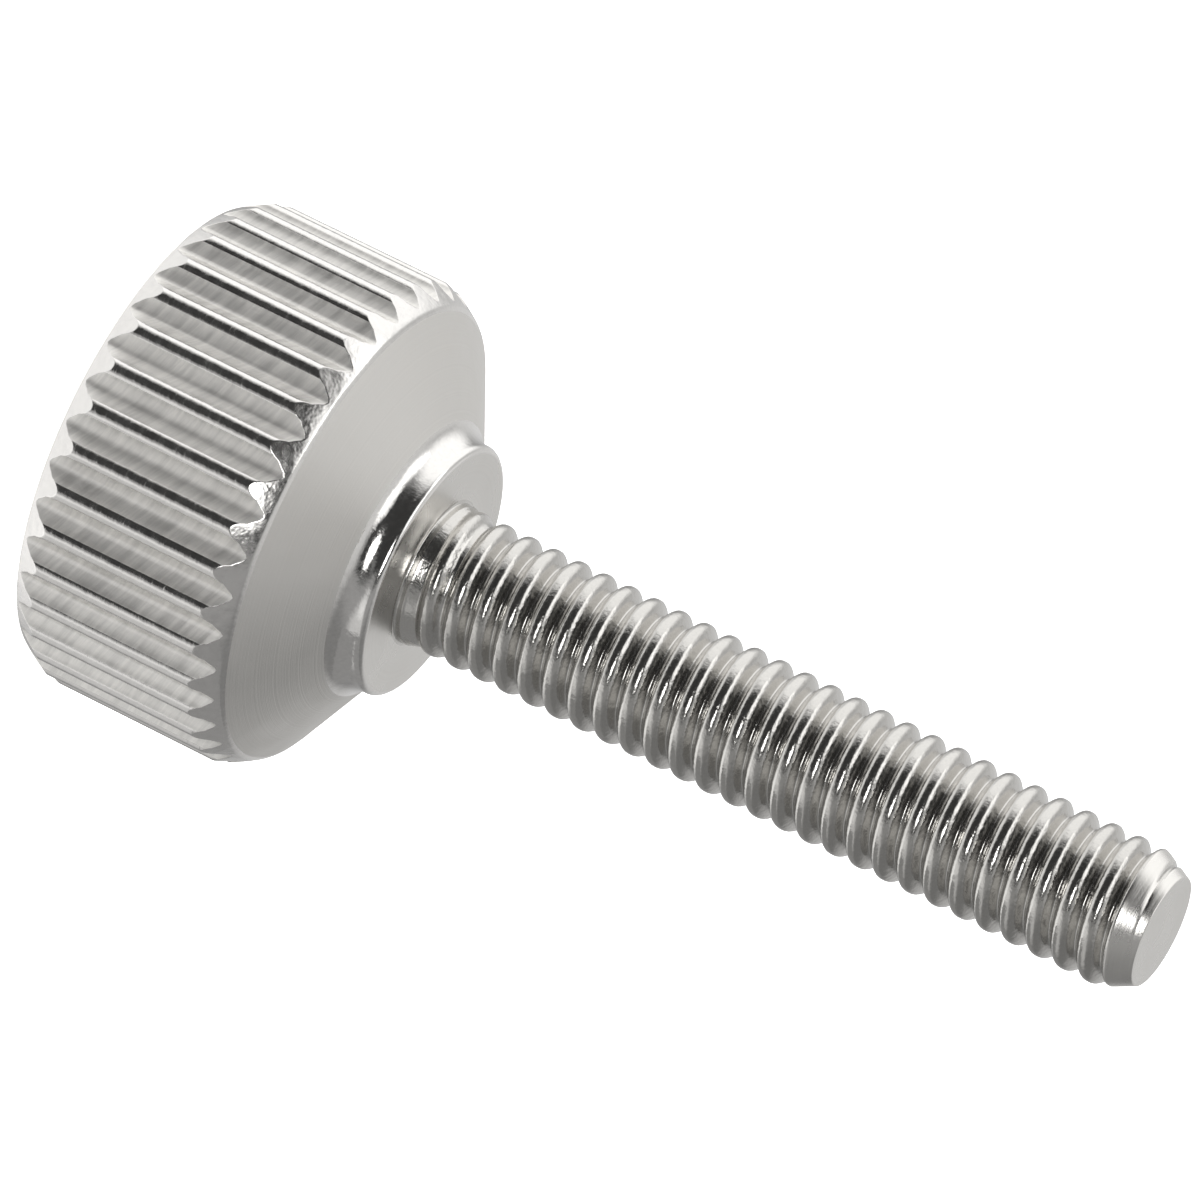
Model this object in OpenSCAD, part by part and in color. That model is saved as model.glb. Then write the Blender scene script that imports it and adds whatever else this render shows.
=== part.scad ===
// Knurled thumb screw with a seating collar, turned and threaded in one piece.
// It stands on the flat end of its head, and the shank points up along +Z.

/* [Head] */
// Diameter of the knurled band over the tooth crests
head_d = 14.5; // [11:0.1:18]
// Height of the knurled band, both end bevels included
band_h = 6.6; // [4:0.1:9]
// Height of the bevel at each end of the band
bevel_h = 0.8; // [0.5:0.05:1.2]
// Number of straight teeth round the band
teeth = 36; // [28:1:40]
// Depth of the grooves between the teeth
groove_depth = 0.42; // [0.3:0.02:0.5]
// Width of a groove at the crests
groove_w = 0.98; // [0.7:0.02:1]
// Curve of a groove's section: 1 is a straight V, 2 is a round trough
groove_curve = 1.5; // [1.2:0.1:2]

/* [Underside and collar] */
// Slope of the turned cone under the head, in degrees from the head's flat end
cone_slope = 31; // [15:1:40]
// Diameter of the collar that seats on the work
collar_d = 7.5; // [6:0.1:9]
// Height of the collar's straight wall, between its fillet and its chamfer
collar_wall = 0.12; // [0.1:0.02:2]
// Radius of the fillet where the cone runs into the collar
fillet_r = 0.8; // [0.3:0.05:1]
// Chamfer round the edge of the seating face
collar_chamfer = 0.12; // [0.08:0.02:0.3]

/* [Thread] */
// Major diameter over the thread crests
thread_d = 4.12; // [3.8:0.01:4.16]
// Pitch of the thread, 32 threads per inch
pitch = 0.79375; // [0.7:0.00125:0.8]
// Length of the shank from the seating face to the tip
shank_l = 22.8; // [8:0.1:40]
// Diameter of the plain land between the collar and the thread
land_d = 4.166; // [4.166:0.002:4.3]
// Length of the plain land
land_l = 0.5; // [0.4:0.05:1.5]
// Turns over which the thread deepens from the land to its full depth
runout = 1.6; // [1:0.1:3]
// Height of the first ridge over the seating face, in pitches
thread_start = 0.21; // [0:0.01:1]
// Diameter of the flat face at the tip
tip_d = 3.2; // [2.8:0.05:3.6]
// Slope of the lead-in bevel at the tip, as radius lost per length
tip_taper = 0.5; // [0.4:0.05:1.4]

/* [Hidden] */
$fn = 96;

// a groove stops this far outside the rim of the bevel, so that a thin ring stays
rim_ring = 0.05;
// steps of the curve on each side of a groove
groove_steps = 4;
// an overlap that lets two solids join, or a tool run clear of the work
overlap = 0.5;
// steps of the fillet's arc
fillet_steps = 8;
// steps of the thread in one turn
turn_steps = 20;

head_r = head_d / 2;
root_r = head_r - groove_depth;
rim_r = root_r - rim_ring;
collar_r = collar_d / 2;

// Fillet between the cone (slope from the plane of the head) and the wall of the collar.
// Its centre lies fillet_r outside the wall and fillet_r off the cone's line.
fillet_x = collar_r + fillet_r;
fillet_z = band_h + (rim_r - fillet_x) * tan(cone_slope) + fillet_r / cos(cone_slope);
fillet_arc = [for (i = [0 : fillet_steps])
    let (a = 270 - cone_slope + (180 - (270 - cone_slope)) * i / fillet_steps)
    [fillet_x + fillet_r * cos(a), fillet_z + fillet_r * sin(a)]];

// height of the collar's seating face, and of the tip
seat_z = fillet_z + collar_wall + collar_chamfer;
tip_z = seat_z + shank_l;

// unified 60 degree thread: a flat crest of an eighth of the pitch, flanks at 30 degrees
crest_r = thread_d / 2;
crest_half = pitch / 16;
thread_depth = 0.6134 * pitch;
flank_run = thread_depth * tan(30);
// the helix starts inside the collar and ends past the tip, where it is cut square
start_z = seat_z - (2 - thread_start) * pitch;
turns = ceil((tip_z - start_z) / pitch) + 1.5;
steps = ceil(turns * turn_steps);

// Half section of the head from its flat end to the seating face
head_section = concat(
    [[0, 0], [rim_r, 0], [head_r, bevel_h], [head_r, band_h - bevel_h], [rim_r, band_h]],
    fillet_arc,
    [[collar_r, seat_z - collar_chamfer], [collar_r - collar_chamfer, seat_z], [0, seat_z]]);

// Depth of the thread at a height: nothing in the land, full after the run-out
function depth_at(z) =
    thread_depth * min(1, max(0.02, (z - seat_z - land_l) / (runout * pitch)));
// The lead-in bevel holds every radius under this cone
function bevel_at(z) = tip_d / 2 + (tip_z - z) * tip_taper;
function helix_point(r, a, z) =
    let (q = max(tip_d / 4, min(r, bevel_at(z)))) [q * cos(a), q * sin(a), z];
// One section of the ridge: lower root, lower crest, upper crest, upper root
function ridge(k) =
    let (a = 360 * k / turn_steps, z = start_z + pitch * k / turn_steps, d = depth_at(z))
    [helix_point(crest_r - d, a, z - crest_half - flank_run),
     helix_point(crest_r, a, z - crest_half),
     helix_point(crest_r, a, z + crest_half),
     helix_point(crest_r - d, a, z + crest_half + flank_run)];

// Groove cut along the whole band. Its section rises from the bottom as a power of the distance
// from the groove's middle, and runs on straight past the crests.
module groove() {
    half = groove_w / 2;
    slope = groove_curve * groove_depth / half;
    side = [for (i = [0 : groove_steps])
        let (k = i / groove_steps) [groove_depth * pow(k, groove_curve), half * k]];
    clear = [groove_depth + overlap, half + overlap / slope];
    translate([root_r, 0, -overlap])
        linear_extrude(band_h + 2 * overlap)
            polygon(concat(
                [[clear[0], -clear[1]]],
                [for (i = [groove_steps : -1 : 1]) [side[i][0], -side[i][1]]],
                side,
                [clear]));
}

// Head, cone and collar as one turned form with the knurl cut into its band
module knurled_head() {
    color([0.72, 0.71, 0.69])
        difference() {
            rotate_extrude() polygon(head_section);
            for (i = [0 : teeth - 1])
                rotate([0, 0, (i + 0.5) * 360 / teeth]) groove();
        }
}

// Plain land that centres the screw in a clearance hole
module plain_land() {
    color([0.72, 0.71, 0.69])
        translate([0, 0, seat_z - overlap]) cylinder(d = land_d, h = land_l + overlap);
}

// Helical ridge and core as one closed surface, from inside the collar to past the tip
module thread_body() {
    points = [for (k = [0 : steps]) each ridge(k)];
    low = len(points);
    last = steps - turn_steps;
    // strips of one section's four corners to the next section's
    strips = [for (k = [0 : steps - 1], j = [0 : 2])
        let (p = 4 * k + j, q = p + 4) each [[p, q + 1, q], [p, p + 1, q + 1]]];
    // root of one turn to the root of the turn above it
    roots = [for (k = [0 : last - 1])
        let (p = 4 * k + 3, q = 4 * (k + turn_steps)) each [[p, q + 4, p + 4], [p, q, q + 4]]];
    // each end is closed by a fan from the axis
    start_fan = [for (k = [0 : turn_steps - 1]) [low, 4 * k, 4 * k + 4]];
    end_fan = [for (k = [last : steps - 1]) [low + 1, 4 * k + 7, 4 * k + 3]];
    start_step = [[low, 4 * turn_steps, 3], [low, 3, 2], [low, 2, 1], [low, 1, 0]];
    top = 4 * steps;
    under = 4 * last + 3;
    end_step = [[low + 1, under, top], [low + 1, top, top + 1],
                [low + 1, top + 1, top + 2], [low + 1, top + 2, top + 3]];
    polyhedron(
        points = concat(points, [[0, 0, start_z], [0, 0, start_z + pitch * steps / turn_steps]]),
        faces = concat(strips, roots, start_fan, start_step, end_fan, end_step),
        convexity = 10);
}

// Threaded shank, cut square at the tip
module threaded_shank() {
    color([0.66, 0.65, 0.63])
        difference() {
            thread_body();
            translate([0, 0, tip_z]) cylinder(d = 2 * thread_d, h = 4 * pitch);
        }
}

module thumb_screw() {
    union() {
        knurled_head();
        plain_land();
        threaded_shank();
    }
}

thumb_screw();
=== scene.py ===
"""Dresses the knurled thumb screw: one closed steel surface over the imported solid, and a small studio round it."""

import bpy
import numpy as np
from mathutils import Matrix


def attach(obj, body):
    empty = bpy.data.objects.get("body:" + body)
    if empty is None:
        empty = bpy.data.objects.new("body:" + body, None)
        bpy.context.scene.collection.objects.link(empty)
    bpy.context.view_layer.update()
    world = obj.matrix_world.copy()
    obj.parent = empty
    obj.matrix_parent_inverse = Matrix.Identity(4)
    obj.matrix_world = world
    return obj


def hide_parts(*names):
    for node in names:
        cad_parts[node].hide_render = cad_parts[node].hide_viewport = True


bl_info = {
    "name": "Knurled Thumb Screw",
    "version": (1, 0, 0),
    "blender": (4, 5, 0),
    "location": "3D View > Sidebar > Thumb Screw",
    "description": "Makes a knurled thumb screw with a seating collar, and a studio to show it in",
    "category": "Add Mesh",
}

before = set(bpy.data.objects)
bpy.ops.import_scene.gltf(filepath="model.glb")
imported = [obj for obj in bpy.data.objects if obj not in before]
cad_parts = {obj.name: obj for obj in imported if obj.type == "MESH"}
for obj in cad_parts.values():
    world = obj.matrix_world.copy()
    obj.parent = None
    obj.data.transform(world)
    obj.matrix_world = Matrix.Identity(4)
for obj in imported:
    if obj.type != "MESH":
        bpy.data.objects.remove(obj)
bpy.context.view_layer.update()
NODE = "thumb_screw"
MM = 0.001
UNC_PITCH = 25.4 / 32  # millimetres, for 32 threads to the inch


def srgb(text):
    """Linear colour of an sRGB hex value."""
    v = np.array([int(text[i : i + 2], 16) for i in (1, 3, 5)]) / 255
    return tuple(float(x) for x in np.where(v <= 0.04045, v / 12.92, ((v + 0.055) / 1.055) ** 2.4))


def length(name, default, text):
    """A size given in millimetres and kept in metres."""
    return bpy.props.FloatProperty(
        name=name, description=text, default=default * MM, min=0.0, precision=6, unit="LENGTH", subtype="DISTANCE"
    )


def angle(name, default, text):
    """An angle given in degrees and kept in radians."""
    return bpy.props.FloatProperty(
        name=name, description=text, default=float(np.radians(default)), unit="ROTATION", subtype="ANGLE"
    )


def colour(name, default, text):
    """A colour given as an sRGB hex value."""
    return bpy.props.FloatVectorProperty(
        name=name, description=text, default=srgb(default), size=3, min=0.0, max=1.0, subtype="COLOR"
    )


def share(name, default, text, low=0.0, high=1.0):
    """A plain number, such as a roughness."""
    return bpy.props.FloatProperty(name=name, description=text, default=default, min=low, max=high, precision=3)


class ScrewSizes(bpy.types.PropertyGroup):
    """Sizes of the screw, as turned and threaded."""

    head_d: length("Head diameter", 14.5, "Across the tooth crests")
    band_h: length("Band height", 6.6, "Height of the knurled band with both bevels")
    bevel_h: length("Bevel height", 0.8, "Height of the bevel at each end of the band")
    bevel_curve: share("Bevel curve", 1.15, "1 for a straight bevel, more for a rounder one", 1, 3)
    teeth: bpy.props.IntProperty(name="Teeth", description="Teeth round the band", default=36, min=12, max=80)
    groove_depth: length("Groove depth", 0.35, "From the crests to the bottom of the grooves")
    groove_w: length("Groove width", 0.91, "Across a groove at the crests")
    groove_curve: share("Groove curve", 1.65, "1 for a straight V, 2 for a round groove", 1, 3)
    groove_edge: length("Groove edge", 0.02, "How deep the rounding between a groove and its crests reaches")
    crest_r: length("Crest radius", 0.34, "Radius of a tooth's rounded crest")
    rim_ring: length("Rim ring", 0.12, "Ring left between the groove ends and the rim")
    rim_round: length("Rim rounding", 0.1, "How far the rim's rounding reaches")
    cone_slope: angle("Cone slope", 31, "Slope of the cone under the head")
    collar_d: length("Collar diameter", 7.5, "Across the seating collar")
    collar_wall: length("Collar wall", 0.09, "Straight wall of the collar")
    collar_edge: length("Collar edge", 0.15, "Chamfer round the seating face")
    fillet_r: length("Fillet radius", 0.8, "Where the cone runs into the collar")
    thread_d: length("Thread diameter", 4.12, "Over the thread crests")
    pitch: length("Pitch", UNC_PITCH, "Pitch of the thread, 32 threads per inch")
    thread_lead: share("Thread start", 0.21, "Where the first ridge lies over the collar, in pitches")
    thread_h: length("Thread height", 0.36, "From the crests to the bottom of the roots")
    flank: angle("Flank angle", 30, "Between a flank and the plane square to the axis")
    crest_w: length("Crest width", 0.33, "Across a crest, between the lines of its flanks")
    crest_round: length("Crest rounding", 0.22, "How deep the rounding of a crest reaches")
    root_round: length("Root rounding", 0.12, "How deep the rounding of a root reaches")
    runout: share("Run-out", 1.6, "Turns over which the thread deepens", 0.5, 4)
    land_d: length("Land diameter", 4.166, "Plain land between collar and thread")
    land_l: length("Land length", 0.25, "Length of the plain land")
    shank_l: length("Shank length", 22.8, "From the seating face to the tip")
    tip_d: length("Tip face diameter", 3.2, "Flat face at the tip")
    tip_taper: share("Tip taper", 0.5, "Radius lost per length by the lead-in cone", 0.2, 2)
    tip_round: length("Tip rounding", 0.06, "How deep the rounding between thread and lead-in cone reaches")


class ScrewFinish(bpy.types.PropertyGroup):
    """Colours and gloss of the steel, and of the studio."""

    bright: colour("Bright steel", "#E2E0DD", "Burnished steel seen face on")
    # The thread's tint is darker than the other steel's: painted shade, for the shade the shank lies in.
    thread: colour("Thread steel", "#CAC8C4", "Rolled steel of the thread seen face on")
    # The grooves' tint is lighter than the other steel's: painted light, which brightens the grooves.
    rolled: colour("Rolled steel", "#F0EEEA", "Matt steel of the grooves seen face on")
    satin: colour("Satin steel", "#DAD8D4", "Fine-turned steel seen face on")
    floor: colour("Floor", "#F8F8F7", "Pale opal floor under the screw")
    polished: share("Polished roughness", 0.12, "Roughness of the fillet and the collar's wall")
    crested: share("Crest roughness", 0.16, "Roughness of the tooth crests")
    bevelled: share("Bevel roughness", 0.2, "Roughness of the band's bevels")
    knurled: share("Knurl roughness", 0.53, "Roughness of the grooves")
    threaded: share("Thread roughness", 0.16, "Roughness of the thread")
    turned: share("Turned roughness", 0.42, "Roughness of the cone")
    faced: share("Faced roughness", 0.28, "Roughness of the end faces")


# ---------------------------------------------------------------- shapes

# Where the mesh has its rows and columns.
# Columns on each side of a crest's middle, in widths of a tooth: close together on the crest, wide in the groove.
TOOTH_COLUMNS = np.array([0.03, 0.06, 0.09, 0.12, 0.15, 0.178, 0.205, 0.235, 0.32, 0.41])
# How far a crest's bright skin reaches on each side of its middle, in widths of a tooth.
BRIGHT_CREST = 0.18
# Rows of the bevel, from its foot to the first of its eased rows, and rows of the tooth, from the bevel to half height.
BEVEL_ROWS = (0.0, 0.1, 0.35, 0.55, 0.78)
TOOTH_ROWS = (0.06, 0.3, 0.6)
# Two more rows of the bevel, in eases inside its meeting with the tooth, and two that round the edge between them, in
# eases inside the tooth and over the meeting. An ease is at most this many millimetres, and at most this share of the
# way from the foot to the meeting.
EASED_ROWS = (2.4, 1.0)
EDGE_ROWS = ((0.25, 0.3), (0.0, 2.2))
EASE, EASE_SHARE = 0.012, 0.2
# Rows of the flat end, in rim radii, and two more that hold it flat, in rim roundings inside the rim.
END_ROWS = (0.35, 0.9)
FLAT_ROWS = (1.5, 1.0)
# How far out the bevel's foot lies, as a share of the way from the rim to where the bevel is as high as the rim's
# rounding.
FOOT = 0.6
# The cone's first row, in millimetres outside and below the rim. Two rows in rim roundings from the rim, and the rest
# in shares of the way from the rim to the fillet.
RIM_EDGE = (0.004, 0.008)
NEAR_ROWS = (1, 3)
CONE_ROWS = (0.3, 0.6, 0.85, 0.97)
FILLET_ROWS = 13
# Rows of the chamfer round the seating face, in chamfers below the face, and the face's first row, in chamfers inside
# the wall.
CHAMFER_ROWS = np.array([1.15, 0.95, 0.55, 0.22, 0.04, 0.0])
SEAT_ROW = 1.5
# Columns of the shank, and its rows at the collar: millimetres outside the land and over the seating face. Then
# millimetres below the land's top.
SHANK_COLUMNS = 88
NECK_ROWS = ((0.6, 0.0), (0.1, 0.0), (0.03, 0.008), (0.006, 0.035), (0.0, 0.1))
LAND_ROWS = (0.06, 0.03)
# Rows of a ridge on each side of its middle, in pitches.
RIDGE_ROWS = np.array([0.05, 0.1, 0.15, 0.2, 0.25, 0.29, 0.33, 0.365]) / UNC_PITCH
# The thread's last row, in millimetres below the tip. Rows of the tip's edge, in millimetres inside that row and below
# the tip, and rows of the tip face, in radii of that row.
LAST_ROW = 0.03
TIP_EDGE_ROWS = ((0.008, 0.008), (0.03, 0.0), (0.08, 0.0))
TIP_FACE_ROWS = (0.7, 0.3)


def soft_min(a, b, k):
    """The smaller of two arrays with their corner rounded.

    It is the smaller one, less k / 4 times the square of (1 - |a - b| / k) where |a - b| is under k.
    """
    h = np.clip(1 - np.abs(a - b) / k, 0, 1)
    return np.minimum(a, b) - h * h * k / 4


def soft_max(a, b, k):
    """The larger of two arrays with their corner rounded the same way."""
    return -soft_min(-a, -b, k)


def rim_radius(s):
    """Radius of the rims of the band: the head's, less the grooves' depth and the ring outside their ends."""
    return s.head_d / 2 - s.groove_depth - s.rim_ring


def off_crest(s, a):
    """Distance from the nearest crest's middle at an angle, in widths of a tooth."""
    return np.abs((a * s.teeth / (2 * np.pi) + 0.5) % 1 - 0.5)


def band_columns(s):
    """Angles of the band's columns: crest's middle, columns over the tooth, groove's middle, and the same mirrored.

    An angle is the distance from the crest's middle, along the crest circle, over the circle's radius.
    """
    one = np.concatenate([[0.0], TOOTH_COLUMNS, [0.5], 1 - TOOTH_COLUMNS[::-1]])
    return ((np.arange(s.teeth)[:, None] + one[None, :]) * 2 * np.pi / s.teeth).ravel()


def tooth_radius(s, a):
    """Radius of the knurl at an angle, clear of the bevels.

    A groove's flank rises as the groove's depth times (g / half the groove's width) to the power of its curve, where g
    is the distance from the groove's middle. The crest is an arc: it falls by its radius less the root of its radius
    squared less d squared, where d is the distance from the crest's middle. The lower of the two counts.
    """
    width = np.pi * s.head_d / s.teeth
    d = off_crest(s, a) * width
    g = np.clip(width / 2 - d, 0, None)
    flank = s.head_d / 2 - s.groove_depth + s.groove_depth * (2 * g / s.groove_w) ** s.groove_curve
    # the arc is held before it turns straight down, well inside the flank
    crest = s.head_d / 2 - s.crest_r + np.sqrt(s.crest_r**2 - np.clip(d, 0, 0.9 * s.crest_r) ** 2)
    return soft_min(flank, crest, s.groove_edge)


def band_rows(s, a):
    """Radius and height of the band's rows, from the rim at its foot to the rim at its head.

    The bevel's height over the end is its full height times (radius past the rim / its full width) to the power of
    its curve. Each column meets it at the tooth's radius, at its own height. The rows are set below and above that
    meeting, so the edge of every crest and groove runs along the mesh.
    """
    r = tooth_radius(s, a)
    rim = rim_radius(s)
    wide = s.head_d / 2 - rim

    def bevel(q):
        return q, s.bevel_h * (np.clip(q - rim, 0, None) / wide) ** s.bevel_curve

    # the foot lies out on the bevel, so that the quads from the flat end to it round the rim
    foot = rim + wide * (s.rim_round / s.bevel_h) ** (1 / s.bevel_curve) * FOOT
    ease = np.minimum(EASE * MM, EASE_SHARE * (r - foot))
    meet = bevel(r)[1]
    # these rows stop short of the eased ones, so that the mesh never folds back where a groove ends
    eased = r - ease * EASED_ROWS[0]
    rows = [bevel(foot + (eased - foot) * k) for k in BEVEL_ROWS]
    rows += [bevel(r - ease * k) for k in EASED_ROWS]
    rows += [(r - ease * inside, meet + ease * over) for inside, over in EDGE_ROWS]
    start = rows[-1][1]
    rows += [(r, start + (s.band_h / 2 - start) * k) for k in TOOTH_ROWS]
    return rows + [(r, s.band_h / 2 + 0 * r)] + [(q, s.band_h - z) for q, z in rows[::-1]]


def underside_points(s):
    """Half section from the rim to the seating face, as radius and height: cone, fillet, wall and eased chamfer.

    With it come the number of its rows on the cone and the height of the seating face. The cone falls by the tangent of
    its slope. The fillet is an arc about a centre that lies one fillet radius outside the collar's wall and one off the
    cone.
    """
    rim, wall, t = rim_radius(s), s.collar_d / 2, s.cone_slope
    cx = wall + s.fillet_r
    cz = s.band_h + (rim - cx) * np.tan(t) + s.fillet_r / np.cos(t)
    turn = np.linspace(1.5 * np.pi - t, np.pi, FILLET_ROWS)
    arc = np.stack([cx + s.fillet_r * np.cos(turn), cz + s.fillet_r * np.sin(turn)], 1)
    start = np.array([rim, s.band_h])
    whole = arc[0] - start
    near = [k * s.rim_round / np.hypot(*whole) for k in NEAR_ROWS]
    rim_edge = start + np.array([[RIM_EDGE[0], -RIM_EDGE[1]]]) * MM
    cone = np.concatenate([rim_edge, start + whole * np.array([*near, *CONE_ROWS])[:, None]])
    e, seat = s.collar_edge, cz + s.collar_wall + s.collar_edge
    down = CHAMFER_ROWS * e
    edge = np.stack([wall - down[::-1], seat - down], 1)
    return np.concatenate([cone, arc, edge, [[wall - SEAT_ROW * e, seat]]]), len(cone), seat


def thread_radius(s, z, a, seat):
    """Radius of the shank at a height and angle.

    q is the height off the nearest ridge, whose middle climbs one pitch a turn. The flanks start half a crest's width
    off it, and fall by the distance from there over the tangent of the flank angle. They run into a broad round crest
    and a rounded root. The root comes up to the crest next to the land, in proportion to the height over it, and a cone
    at the tip holds every radius under it.
    """
    lead = (z - seat) / s.pitch - s.thread_lead - a / (2 * np.pi)
    q = np.abs((lead + 0.5) % 1 - 0.5) * s.pitch
    top = s.thread_d / 2
    # a trace of depth stays next to the land: the root's rounding is at most half of it, and can't be nothing
    depth = s.thread_h * np.clip((z - seat - s.land_l) / (s.runout * s.pitch), 0.004, 1)
    flank = top - (q - s.crest_w / 2) / np.tan(s.flank)
    ridge = soft_min(flank, top + 0 * q, s.crest_round)
    r = soft_max(ridge, top - depth, np.minimum(s.root_round, depth * 0.5))
    return soft_min(r, s.tip_d / 2 + (seat + s.shank_l - z) * s.tip_taper, s.tip_round)


def turned(points, a):
    """Rows of a form turned about Z, a row to each pair of radius and height.

    A corner is (radius times cosine, radius times sine, height).
    """
    r, z = (np.array([p[k] + 0 * a for p in points]) for k in (0, 1))
    return np.stack([r * np.cos(a), r * np.sin(a), z], -1)


def ring_faces(first, rows, n):
    """Quads between neighbouring rows of n corners, closed round the axis."""
    j, i = np.meshgrid(np.arange(rows - 1), np.arange(n), indexing="ij")
    k = (i + 1) % n
    return (first + np.stack([j * n + i, j * n + k, (j + 1) * n + k, (j + 1) * n + i], -1)).reshape(-1, 4)


def fan_faces(first, n, middle):
    """Triangles from a row of n corners to a corner on the axis, over the row."""
    i = np.arange(n)
    return np.stack([first + i, first + (i + 1) % n, middle + 0 * i], -1)


def step_faces(outer, n_out, inner, n_in):
    """Triangles from a row of many corners to a row of few.

    The inner sides share the outer ones out. An outer side goes to the corner that its inner side starts from, and an
    inner side to the corner that its last outer side ends at.
    """
    k, i = np.arange(n_out), np.arange(n_in)
    cut = np.rint(np.arange(n_in + 1) * n_out / n_in).astype(int)
    start = np.searchsorted(cut, k, side="right") - 1
    over = np.stack([outer + k, outer + (k + 1) % n_out, inner + start], -1)
    under = np.stack([outer + cut[1:] % n_out, inner + (i + 1) % n_in, inner + i], -1)
    return np.concatenate([over, under])


def helix_rows(s, a, seat, low, high, low_ring, high_ring, first):
    """Corners and faces of the thread between a ring at height low and a ring at height high.

    Row j of column i lies at the ridge's height, plus its own offset, plus pitch times angle over a turn. So crest and
    root follow the mesh, and the last column joins the first one a pitch further up. A corner past an end is taken by
    that end's ring, and what this leaves of its faces is kept where three or more corners still differ.
    """
    offset = np.concatenate([[-0.5], -RIDGE_ROWS[::-1], [0.0], RIDGE_ROWS]) * s.pitch
    n, m = len(a), len(offset)
    # four pitches down is below the lower ring for every column, and three pitches more are above the upper one
    base = seat + (s.thread_lead - 4) * s.pitch
    j = np.arange(int((high - base) / s.pitch + 3) * m)
    z = base + (j // m)[:, None] * s.pitch + offset[j % m][:, None] + s.pitch * a / (2 * np.pi)
    # a corner any nearer to an end would make slivers with its ring
    gap = 0.3 * s.pitch / m
    free = (z > low + gap) & (z < high - gap)
    column = np.arange(n) + 0 * j[:, None]
    number = np.where(z < high / 2 + low / 2, low_ring, high_ring) + column
    number[free] = first + np.arange(free.sum())
    r = thread_radius(s, z, a[None, :], seat)
    points = np.stack([r * np.cos(a), r * np.sin(a), z], -1)[free]
    number = np.concatenate([number[:-m], number[m:, :1]], 1)
    quad = np.stack([number[:-1, :-1], number[:-1, 1:], number[1:, 1:], number[1:, :-1]], -1).reshape(-1, 4)
    same = quad == np.roll(quad, -1, 1)
    whole, three = quad[~same.any(1)], same.sum(1) == 1
    return points, whole.tolist() + quad[three][~same[three]].reshape(-1, 3).tolist()


def head_surface(s):
    """Corners, faces and finishes of the head, from the middle of its flat end to the seating face.

    With them come the number of its columns and the height of the seating face. Every row but the middle has the
    band's columns. Between the bevels, a face is a crest's where it lies near a crest's middle, and a groove's where
    it doesn't.
    """
    a = band_columns(s)
    n = len(a)
    rim = rim_radius(s)
    end = [(rim * k, 0.0) for k in END_ROWS] + [(rim - s.rim_round * k, 0.0) for k in FLAT_ROWS]
    band = band_rows(s, a)
    under, cone, seat = underside_points(s)
    corners = turned(end + band + [tuple(p) for p in under], a).reshape(-1, 3)
    rows = len(end) + len(band) + len(under)
    quads = ring_faces(1, rows, n)
    row = np.arange(len(quads)) // n
    middle = (a + np.append(a[1:], 2 * np.pi)) / 2
    crest = np.tile(off_crest(s, middle) < BRIGHT_CREST, rows - 1)
    foot, top, sloped = len(end) - 1, len(end) + len(band) - 1, len(BEVEL_ROWS) + len(EASED_ROWS)
    tooth = (row > foot + sloped) & (row < top - sloped)
    zones = [row < foot, tooth & ~crest, tooth, row < top, row < top + 2, row < top + cone + 1, row < rows - 2]
    finish = np.select(zones, [FACED, KNURLED, CRESTED, BEVELLED, POLISHED, TURNED, POLISHED], FACED).tolist()
    faces = fan_faces(1, n, 0)[:, ::-1].tolist() + quads.tolist()
    return np.concatenate([[[0, 0, 0]], corners]), faces, [FACED] * n + finish, n, seat


def screw_surface(s):
    """Corners, faces and finish of each face, from the middle of the head's flat end round to the middle of the tip."""
    head, faces, finish, n, seat = head_surface(s)
    m = SHANK_COLUMNS
    b = np.arange(m) * 2 * np.pi / m
    land, peak = s.land_d / 2, seat + s.shank_l
    low, high = seat + s.land_l, peak - LAST_ROW * MM
    neck = [(land + out * MM, seat + up * MM) for out, up in NECK_ROWS]
    neck += [(land, low - down * MM) for down in LAND_ROWS]
    neck += [(thread_radius(s, low + 0 * b, b, seat), low)]
    last = thread_radius(s, high + 0 * b, b, seat)
    tip = [(last, high)] + [(last - inside * MM, peak - down * MM) for inside, down in TIP_EDGE_ROWS]
    tip += [(last * k, peak) for k in TIP_FACE_ROWS]
    first = len(head)
    low_ring = first + (len(neck) - 1) * m
    high_ring = low_ring + m
    shank = np.concatenate([turned(neck, b), turned(tip, b)]).reshape(-1, 3)
    middle = first + len(shank)

    faces += step_faces(first - n, n, first, m).tolist()
    finish += [FACED] * (n + m)
    collar = ring_faces(first, len(neck), m)
    faces += collar.tolist()
    finish += np.where(np.arange(len(collar)) < m, FACED, THREADED).tolist()

    turns, thread = helix_rows(s, b, seat, low, high, low_ring, high_ring, middle + 1)
    faces += thread
    # where the lead-in cone has cut the ridge, to within 0.02 mm, the steel is faced off
    corner = np.array([face[0] for face in thread]) - middle - 1
    x, y, z = turns[np.clip(corner, 0, None)].T
    cut = (corner >= 0) & (np.hypot(x, y) > s.tip_d / 2 + (peak - z) * s.tip_taper - 0.02 * MM)
    finish += np.where(cut, FACED, THREADED).tolist()

    faces += ring_faces(high_ring, len(tip), m).tolist() + fan_faces(middle - m, m, middle).tolist()
    finish += [FACED] * (len(tip) * m)
    return np.concatenate([head, shank, [[0, 0, peak]], turns]), faces, finish


def new_piece(name, points, faces, materials, finish):
    """A smooth-shaded mesh object at the origin, with a material number for each face."""
    mesh = bpy.data.meshes.new(name)
    mesh.from_pydata(points.tolist(), [], faces)
    for m in materials:
        mesh.materials.append(m)
    mesh.polygons.foreach_set("material_index", np.array(finish, dtype=np.int32))
    mesh.polygons.foreach_set("use_smooth", np.ones(len(faces), dtype=bool))
    mesh.update()
    piece = bpy.data.objects.new(name, mesh)
    bpy.context.scene.collection.objects.link(piece)
    return piece


# ---------------------------------------------------------------- materials

KNURLED, TURNED, POLISHED, FACED, THREADED, CRESTED, BEVELLED = range(7)
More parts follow.
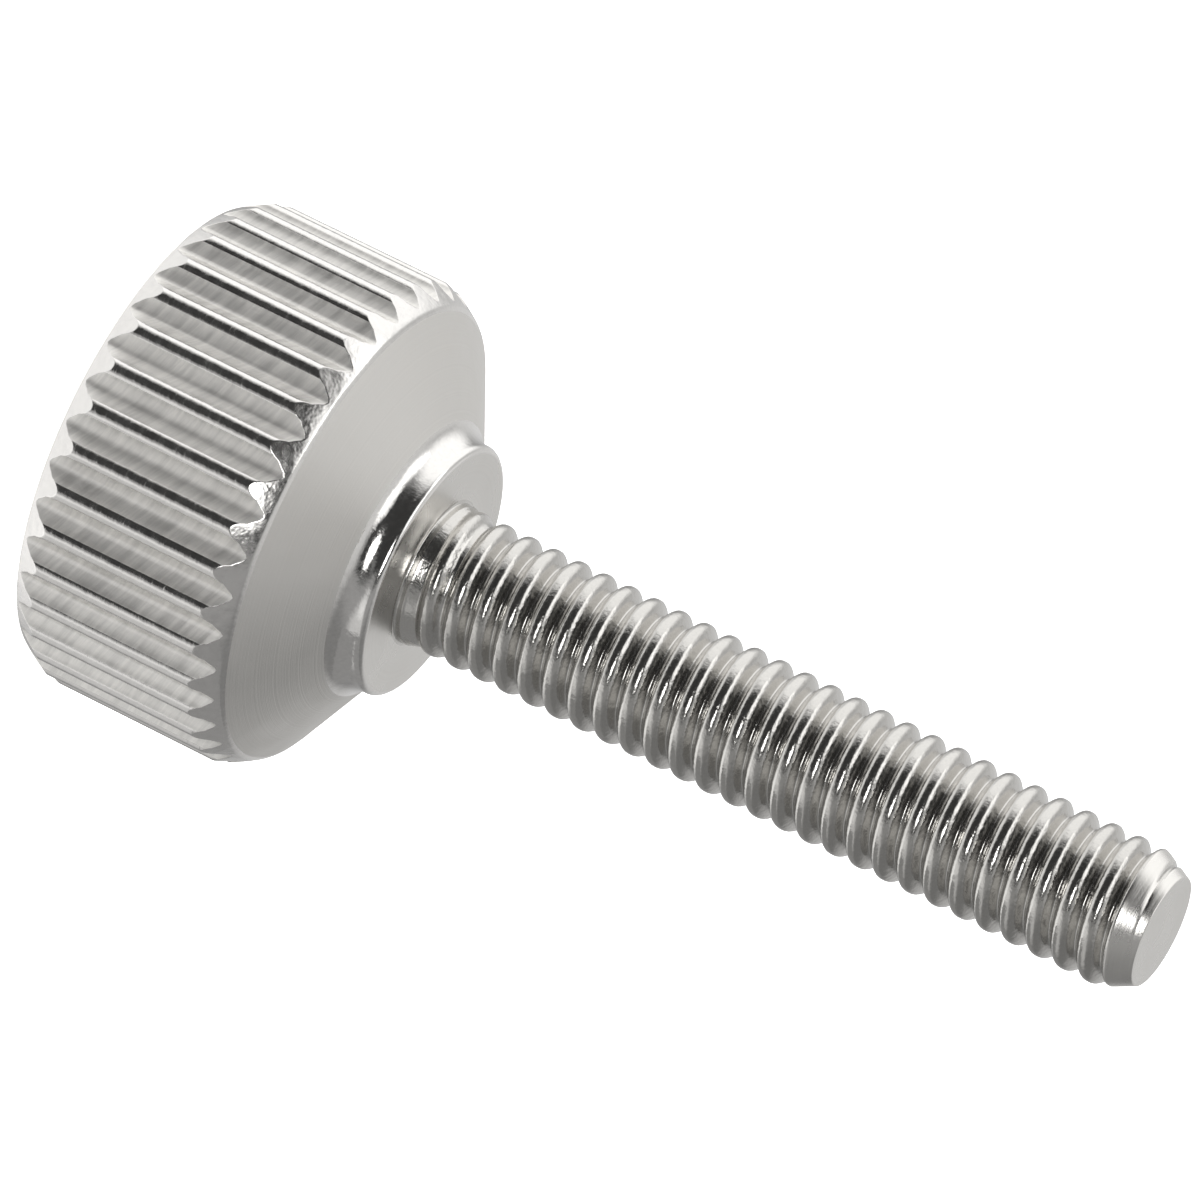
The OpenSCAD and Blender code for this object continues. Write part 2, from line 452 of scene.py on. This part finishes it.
# Millimetres that a knurling mark falls from one crest to the next, with the angle growing.
SLANT = 0.6
# Steps of the marks' noise: from groove to groove, across a groove, and to a millimetre along it. Real marks lie closer
# together, and these are as coarse as they need to be to show.
MARKS = (3.7, 0.9, 5.5)
# Millimetres from ring to ring on the cone and on the end faces: fine feeds of a lathe.
TURNING_FEED, FACING_FEED = 0.06, 0.09


def add(tree, kind, settings=None, **links):
    """Adds a node. settings holds its own values and its sockets', links joins its input sockets to outputs."""
    node = tree.nodes.new(kind)
    for key, value in (settings or {}).items():
        if isinstance(key, int) or key in node.inputs:
            node.inputs[key].default_value = value
        else:
            setattr(node, key, value)
    for key, socket in links.items():
        name = key.replace("_", " ")
        tree.links.new(socket, node.inputs[int(key[1:]) if key[1:].isdigit() else name])
    return node


def new_material(name):
    """An empty node material with its output, and its Object coordinates in millimetres."""
    material = bpy.data.materials.new(name)
    material.use_nodes = True
    tree = material.node_tree
    tree.nodes.clear()
    out = add(tree, "ShaderNodeOutputMaterial")
    place = add(tree, "ShaderNodeTexCoord")
    mm = add(tree, "ShaderNodeVectorMath", {"operation": "SCALE", "Scale": 1 / MM}, i0=place.outputs["Object"])
    return material, tree, out, mm.outputs[0]


def steel_skin(tree, out, tone, gloss, relief):
    """Bare metal with a tone, a gloss and a relief, each over a pattern.

    tone is the pattern, the tint and the darkest share of it. gloss is the pattern, the roughness, and what it loses
    and gains. relief is the pattern, its strength and its height in millimetres.
    """
    shade, tint, dark = tone
    patches, roughness, less, more = gloss
    waves, strength, height = relief
    # inputs 6 and 7 of the mixing node are its two colours, and output 2 is theirs mixed
    tints = {"data_type": "RGBA", 6: (*[c * dark for c in tint], 1), 7: (*tint, 1)}
    steps = {"From Min": 0.3, "From Max": 0.7, "To Min": roughness - less, "To Max": roughness + more}
    mixed = add(tree, "ShaderNodeMix", tints, i0=shade)
    rough = add(tree, "ShaderNodeMapRange", steps, Value=patches)
    bump = add(tree, "ShaderNodeBump", {"Strength": strength, "Distance": height * MM}, Height=waves)
    skin = add(
        tree,
        "ShaderNodeBsdfPrincipled",
        {"Metallic": 1.0},
        Base_Color=mixed.outputs[2],
        Roughness=rough.outputs[0],
        Normal=bump.outputs[0],
    )
    tree.links.new(skin.outputs[0], out.inputs[0])


def knurled_steel(name, tint, roughness, teeth):
    """Stainless steel, straight-knurled by rolling: dull grooves with fine slanted marks across them.

    The marks are noise over the groove's number, the place across it and the height. The height is sheared by the
    place across the groove, which slants them. Each groove's own frame meets its neighbour's on the crest between.
    """
    material, tree, out, mm = new_material(name)
    part = add(tree, "ShaderNodeSeparateXYZ", None, Vector=mm)
    around = add(tree, "ShaderNodeMath", {"operation": "ARCTAN2"}, i0=part.outputs["Y"], i1=part.outputs["X"])
    turns = add(tree, "ShaderNodeMath", {"operation": "MULTIPLY", 1: teeth / (2 * np.pi)}, i0=around.outputs[0])
    number = add(tree, "ShaderNodeMath", {"operation": "FLOOR"}, i0=turns.outputs[0]).outputs[0]
    across = add(tree, "ShaderNodeMath", {"operation": "FRACT"}, i0=turns.outputs[0]).outputs[0]
    sheared = {"operation": "MULTIPLY_ADD", 1: SLANT}
    height = add(tree, "ShaderNodeMath", sheared, i0=across, i2=part.outputs["Z"]).outputs[0]
    own = add(tree, "ShaderNodeCombineXYZ", None, X=number, Y=across, Z=height)
    squeeze = add(tree, "ShaderNodeMapping", {"Scale": MARKS}, Vector=own.outputs[0])
    fine = {"Scale": 1.0, "Detail": 4.0, "Roughness": 0.65}
    marks = add(tree, "ShaderNodeTexNoise", fine, Vector=squeeze.outputs[0]).outputs[0]
    shade = add(tree, "ShaderNodeMapRange", {"From Min": 0.35, "From Max": 0.65}, Value=marks)
    steel_skin(tree, out, (shade.outputs[0], tint, 0.8), (marks, roughness, 0.07, 0.05), (marks, 0.5, 0.02))
    return material


def ringed_steel(name, tint, roughness, feed, strength):
    """Stainless steel with rings left by a turning tool: noise over the distance from the axis, and a fine grit."""
    material, tree, out, mm = new_material(name)
    flat = add(tree, "ShaderNodeVectorMath", {"operation": "MULTIPLY", 1: (1, 1, 0)}, i0=mm)
    radius = add(tree, "ShaderNodeVectorMath", {"operation": "LENGTH"}, i0=flat.outputs[0])
    fine = {"noise_dimensions": "1D", "Scale": 1 / feed, "Detail": 3.0, "Roughness": 0.7}
    rings = add(tree, "ShaderNodeTexNoise", fine, W=radius.outputs["Value"]).outputs[0]
    cloud = add(tree, "ShaderNodeTexNoise", {"Scale": 0.9, "Detail": 3.0}, Vector=mm).outputs[0]
    grit = add(tree, "ShaderNodeTexNoise", {"Scale": 14.0, "Detail": 2.0}, Vector=mm).outputs[0]
    waves = add(tree, "ShaderNodeMath", {"operation": "MULTIPLY_ADD", 1: 0.5}, i0=grit, i2=rings).outputs[0]
    steel_skin(tree, out, (rings, tint, 0.93), (cloud, roughness, 0.05, 0.06), (waves, strength, 0.02))
    return material


def bright_steel(name, tint, roughness, scale, strength, along=1.0):
    """Stainless steel with a bright rolled or burnished skin: slow waves that break up its reflections.

    scale is how many waves come to a millimetre, and along how many times closer they lie along the axis.
    """
    material, tree, out, mm = new_material(name)
    squeeze = add(tree, "ShaderNodeMapping", {"Scale": (1.0, 1.0, along)}, Vector=mm)
    slow = {"Scale": scale, "Detail": 3.0, "Roughness": 0.6}
    waves = add(tree, "ShaderNodeTexNoise", slow, Vector=squeeze.outputs[0]).outputs[0]
    cloud = add(tree, "ShaderNodeTexNoise", {"Scale": scale * 3, "Detail": 2.0}, Vector=mm).outputs[0]
    steel_skin(tree, out, (cloud, tint, 0.85), (cloud, roughness, 0.04, 0.06), (waves, strength, 0.03))
    return material


def screw_materials(f, teeth):
    """The screw's seven finishes, in the order of their numbers."""
    return [
        # Stainless steel rolled by the knurling wheel: matt grooves with slanted marks, tinted paler as painted light.
        knurled_steel("stainless_steel_knurled", f.rolled, f.knurled, teeth),
        # The same steel turned with a fine feed: satin, with faint rings.
        ringed_steel("stainless_steel_turned", f.satin, f.turned, TURNING_FEED, 0.25),
        # The same steel burnished by the form tool: nearly a mirror, a little wavy.
        bright_steel("stainless_steel_burnished", f.bright, f.polished, 3.0, 0.3),
        # The same steel faced off: flat and satin.
        ringed_steel("stainless_steel_faced", f.satin, f.faced, FACING_FEED, 0.2),
        # The same steel with the thread rolled in: bright crests and flanks, tinted darker as painted shade.
        bright_steel("stainless_steel_threaded", f.thread, f.threaded, 5.0, 0.5),
        # The same steel squeezed up between the grooves by the knurling wheel: bright crests with uneven edges.
        bright_steel("stainless_steel_crested", f.bright, f.crested, 1.4, 0.8, 2.4),
        # The same steel cut back by the turning tool at the knurl's ends: torn a little where it crosses the teeth.
        bright_steel("stainless_steel_bevelled", f.bright, f.bevelled, 1.5, 1.0),
    ]


# ---------------------------------------------------------------- studio

# The light that the studio's walls give from everywhere, the least they give, and the panels set up before them:
# name, azimuth and elevation of its middle, the angles off it at which it starts and stops fading, all in degrees,
# and the light it adds. A black card takes light away.
ROOM_LIGHT = 0.48
LEAST_LIGHT = 0.06
PANELS = [
    ("black card in front, low", 253, -16, 20, 40, -0.5),
    ("black card in front, middle", 256, 14, 34, 54, -0.4),
    ("black card in front, high", 258, 42, 20, 38, -0.34),
    ("soft box at the left", 168, -3, 22, 48, 1.35),
    ("strip light over the left", 184, 41, 7, 19, 1.4),
    ("top light in front", 222, 55, 9, 20, 1.7),
    ("small lamp in front", 276, 27, 9, 15, 7.0),
    ("glow under the small lamp", 277, -2, 5, 17, 0.3),
    ("white wall at the right", 352, -22, 22, 46, 0.4),
    ("reflector at the right", 320, -20, 5, 18, 0.4),
    ("dark corner at the right", 40, 30, 28, 62, -0.16),
    ("pale wall behind", 95, 18, 16, 46, 0.5),
    ("ceiling over the left", 150, 72, 16, 52, 0.5),
    ("white table", 0, -90, 36, 66, 1.0),
]
# The ceiling lamp: its width and height over the floor in metres, and its power in watts.
LAMP_WIDTH, LAMP_HEIGHT, LAMP_POWER = 1.4, 1.2, 8.0
# The floor: radius in metres, sides, depth below the screw in millimetres, roughness, and the light from below.
FLOOR_RADIUS, FLOOR_SIDES, FLOOR_DEPTH = 1.6, 64, 0.02
FLOOR_ROUGHNESS, FLOOR_GLOW = 0.9, 0.85
# The card beside the shank: distance from the axis, its two ends and its two edges in millimetres, and its tone.
CARD_X, CARD_Y, CARD_Z = 30, (-9, 34), (0.5, 22)
CARD_TONE = 0.33
# The camera: degrees from the screw's axis to the line of sight, degrees that the shank falls below the level to the
# right, and a last turn about the line of sight. Its place is in millimetres right of, above and behind the middle
# of the seating face, as it sees them.
CAMERA_TILT, CAMERA_ROLL, CAMERA_TURN = 72.143, 26.193, -0.5
CAMERA_PLACE = (4.522, -0.739, 344.64)
CAMERA_LENS, CAMERA_SENSOR = 380.46, 36

# ---------------------------------------------------------------- operators


class MakeScrew(bpy.types.Operator):
    """Makes the screw's closed surface with its finishes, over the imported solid"""

    bl_idname = "thumb_screw.make_screw"
    bl_label = "Screw"

    def execute(self, context):
        sizes, finishes = context.scene.screw_sizes, context.scene.screw_finish
        points, faces, finish = screw_surface(sizes)
        piece = new_piece("knurled_thumb_screw", points, faces, screw_materials(finishes, sizes.teeth), finish)
        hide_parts(NODE)
        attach(piece, "root")
        return {"FINISHED"}


def camera_axes():
    """The camera's right, up and back directions, as columns.

    Back leans off the screw's axis by the tilt. Right and up are turned about it by the roll, so that the axis falls
    to the lower right, and all three by the last turn.
    """
    t, r, turn = np.radians([CAMERA_TILT, CAMERA_ROLL, CAMERA_TURN])
    right = np.array([-np.sin(r), np.cos(t) * np.cos(r), np.sin(t) * np.cos(r)])
    up = -np.array([np.cos(r), np.cos(t) * np.sin(r), np.sin(t) * np.sin(r)])
    back = np.array([0, -np.sin(t), np.cos(t)])
    spin = np.array([[np.cos(turn), -np.sin(turn), 0], [np.sin(turn), np.cos(turn), 0], [0, 0, 1]])
    return spin @ np.stack([right, up, back], 1)


def place_camera(scene):
    """Sets the camera off the middle of the seating face, along its own axes."""
    seat = underside_points(scene.screw_sizes)[2]
    axes = camera_axes()
    camera = bpy.data.objects.new("camera", bpy.data.cameras.new("camera"))
    camera.data.lens = CAMERA_LENS
    camera.data.sensor_width = CAMERA_SENSOR
    place = np.array([0, 0, seat]) + axes @ (np.array(CAMERA_PLACE) * MM)
    camera.matrix_world = Matrix(np.vstack([np.column_stack([axes, place]), [0, 0, 0, 1]]).tolist())
    scene.collection.objects.link(camera)
    scene.camera = camera


def lay_floor(floor_colour):
    """A round floor of opal acrylic, matt and lit from below: plain and pale, with next to no shadow.

    It is hidden from mirror rays, so that the steel shows the studio's walls.
    """
    opal = bpy.data.materials.new("opal_acrylic")
    opal.use_nodes = True
    skin = opal.node_tree.nodes["Principled BSDF"].inputs
    skin["Base Color"].default_value = (*floor_colour, 1)
    skin["Roughness"].default_value = FLOOR_ROUGHNESS
    skin["Emission Color"].default_value = (*floor_colour, 1)
    skin["Emission Strength"].default_value = FLOOR_GLOW
    t = np.arange(FLOOR_SIDES) * 2 * np.pi / FLOOR_SIDES
    disc = np.stack([FLOOR_RADIUS * np.cos(t), FLOOR_RADIUS * np.sin(t), 0 * t - FLOOR_DEPTH * MM], 1)
    floor = new_piece("floor", disc, [list(range(FLOOR_SIDES))], [opal], [0])
    floor.visible_glossy = floor.visible_shadow = False


def stand_card():
    """A grey card beside the shank, which shades it from the wall at the right. Only mirror rays meet it."""
    board = bpy.data.materials.new("grey_card")
    board.use_nodes = True
    tree = board.node_tree
    tree.nodes.clear()
    tone = add(tree, "ShaderNodeEmission", {"Color": (1, 1, 1, 1), "Strength": CARD_TONE})
    add(tree, "ShaderNodeOutputMaterial", None, Surface=tone.outputs[0])
    (near, far), (low, high) = CARD_Y, CARD_Z
    corners = np.array([(CARD_X, near, low), (CARD_X, far, low), (CARD_X, far, high), (CARD_X, near, high)]) * MM
    card = new_piece("card", corners, [[0, 3, 2, 1]], [board], [0])
    card.visible_camera = card.visible_diffuse = card.visible_shadow = False


def hang_lamp(scene):
    """A wide round lamp overhead, which lights the floor and is hidden from camera and mirror rays."""
    lamp = bpy.data.lights.new("ceiling", "AREA")
    lamp.shape, lamp.size, lamp.energy = "DISK", LAMP_WIDTH, LAMP_POWER
    ceiling = bpy.data.objects.new("ceiling", lamp)
    ceiling.location = (0, 0, LAMP_HEIGHT)
    ceiling.visible_glossy = ceiling.visible_camera = False
    scene.collection.objects.link(ceiling)


def light_walls(scene, plain_colour):
    """The walls' light over direction: room light plus every panel's, and never less than the least.

    A panel gives its light up to its inner angle off its middle, and fades smoothly to nothing at its outer one, over
    the cosine of the angle. The camera sees a plain pale wall instead.
    """
    scene.world = bpy.data.worlds.new("studio")
    scene.world.use_nodes = True
    tree = scene.world.node_tree
    tree.nodes.clear()
    out = add(tree, "ShaderNodeOutputWorld")
    way = add(tree, "ShaderNodeTexCoord").outputs["Generated"]
    lights = []
    for name, azimuth, elevation, inner, outer, gain in PANELS:
        turn, rise = np.radians(azimuth), np.radians(elevation)
        middle = (np.cos(rise) * np.cos(turn), np.cos(rise) * np.sin(turn), np.sin(rise))
        aim = {"operation": "DOT_PRODUCT", "label": name, 1: [float(c) for c in middle]}
        near = add(tree, "ShaderNodeVectorMath", aim, i0=way)
        fade = {"interpolation_type": "SMOOTHSTEP", "From Min": float(np.cos(np.radians(outer)))}
        fade |= {"From Max": float(np.cos(np.radians(inner))), "To Min": 0.0, "To Max": gain}
        lights.append(add(tree, "ShaderNodeMapRange", fade, Value=near.outputs["Value"]).outputs[0])
    total = add(tree, "ShaderNodeMath", {"operation": "ADD", 1: ROOM_LIGHT}, i0=lights[0]).outputs[0]
    for light in lights[1:]:
        total = add(tree, "ShaderNodeMath", {"operation": "ADD"}, i0=light, i1=total).outputs[0]
    held = add(tree, "ShaderNodeMath", {"operation": "MAXIMUM", 1: LEAST_LIGHT}, i0=total)
    walls = add(tree, "ShaderNodeBackground", None, Strength=held.outputs[0]).outputs[0]
    plain = add(tree, "ShaderNodeBackground", {"Color": (*plain_colour, 1), "Strength": 1.0}).outputs[0]
    seen = add(tree, "ShaderNodeLightPath").outputs["Is Camera Ray"]
    mix = add(tree, "ShaderNodeMixShader", None, i0=seen, i1=walls, i2=plain)
    tree.links.new(mix.outputs[0], out.inputs[0])


class MakeStudio(bpy.types.Operator):
    """Makes the pale floor, the soft studio light and the camera"""

    bl_idname = "thumb_screw.make_studio"
    bl_label = "Studio"

    def execute(self, context):
        scene, finishes = context.scene, context.scene.screw_finish
        place_camera(scene)
        scene.view_settings.view_transform = "Standard"
        lay_floor(finishes.floor)
        stand_card()
        hang_lamp(scene)
        light_walls(scene, finishes.floor)
        return {"FINISHED"}


class ThumbScrewPanel(bpy.types.Panel):
    """Lists the steps that make the thumb screw"""

    bl_idname = "VIEW3D_PT_thumb_screw"
    bl_label = "Thumb Screw"
    bl_space_type = "VIEW_3D"
    bl_region_type = "UI"
    bl_category = "Thumb Screw"

    def draw(self, context):
        self.layout.operator(MakeScrew.bl_idname)
        self.layout.operator(MakeStudio.bl_idname)


CLASSES = (ScrewSizes, ScrewFinish, MakeScrew, MakeStudio, ThumbScrewPanel)


def register():
    """Registers the classes, and hangs the sizes and finishes on the scene."""
    for c in CLASSES:
        bpy.utils.register_class(c)
    bpy.types.Scene.screw_sizes = bpy.props.PointerProperty(type=ScrewSizes)
    bpy.types.Scene.screw_finish = bpy.props.PointerProperty(type=ScrewFinish)


def unregister():
    """Takes off what register put on."""
    del bpy.types.Scene.screw_finish, bpy.types.Scene.screw_sizes
    for c in reversed(CLASSES):
        bpy.utils.unregister_class(c)


def main():
    register()
    bpy.ops.thumb_screw.make_screw()
    bpy.ops.thumb_screw.make_studio()


if __name__ == "__main__":
    main()
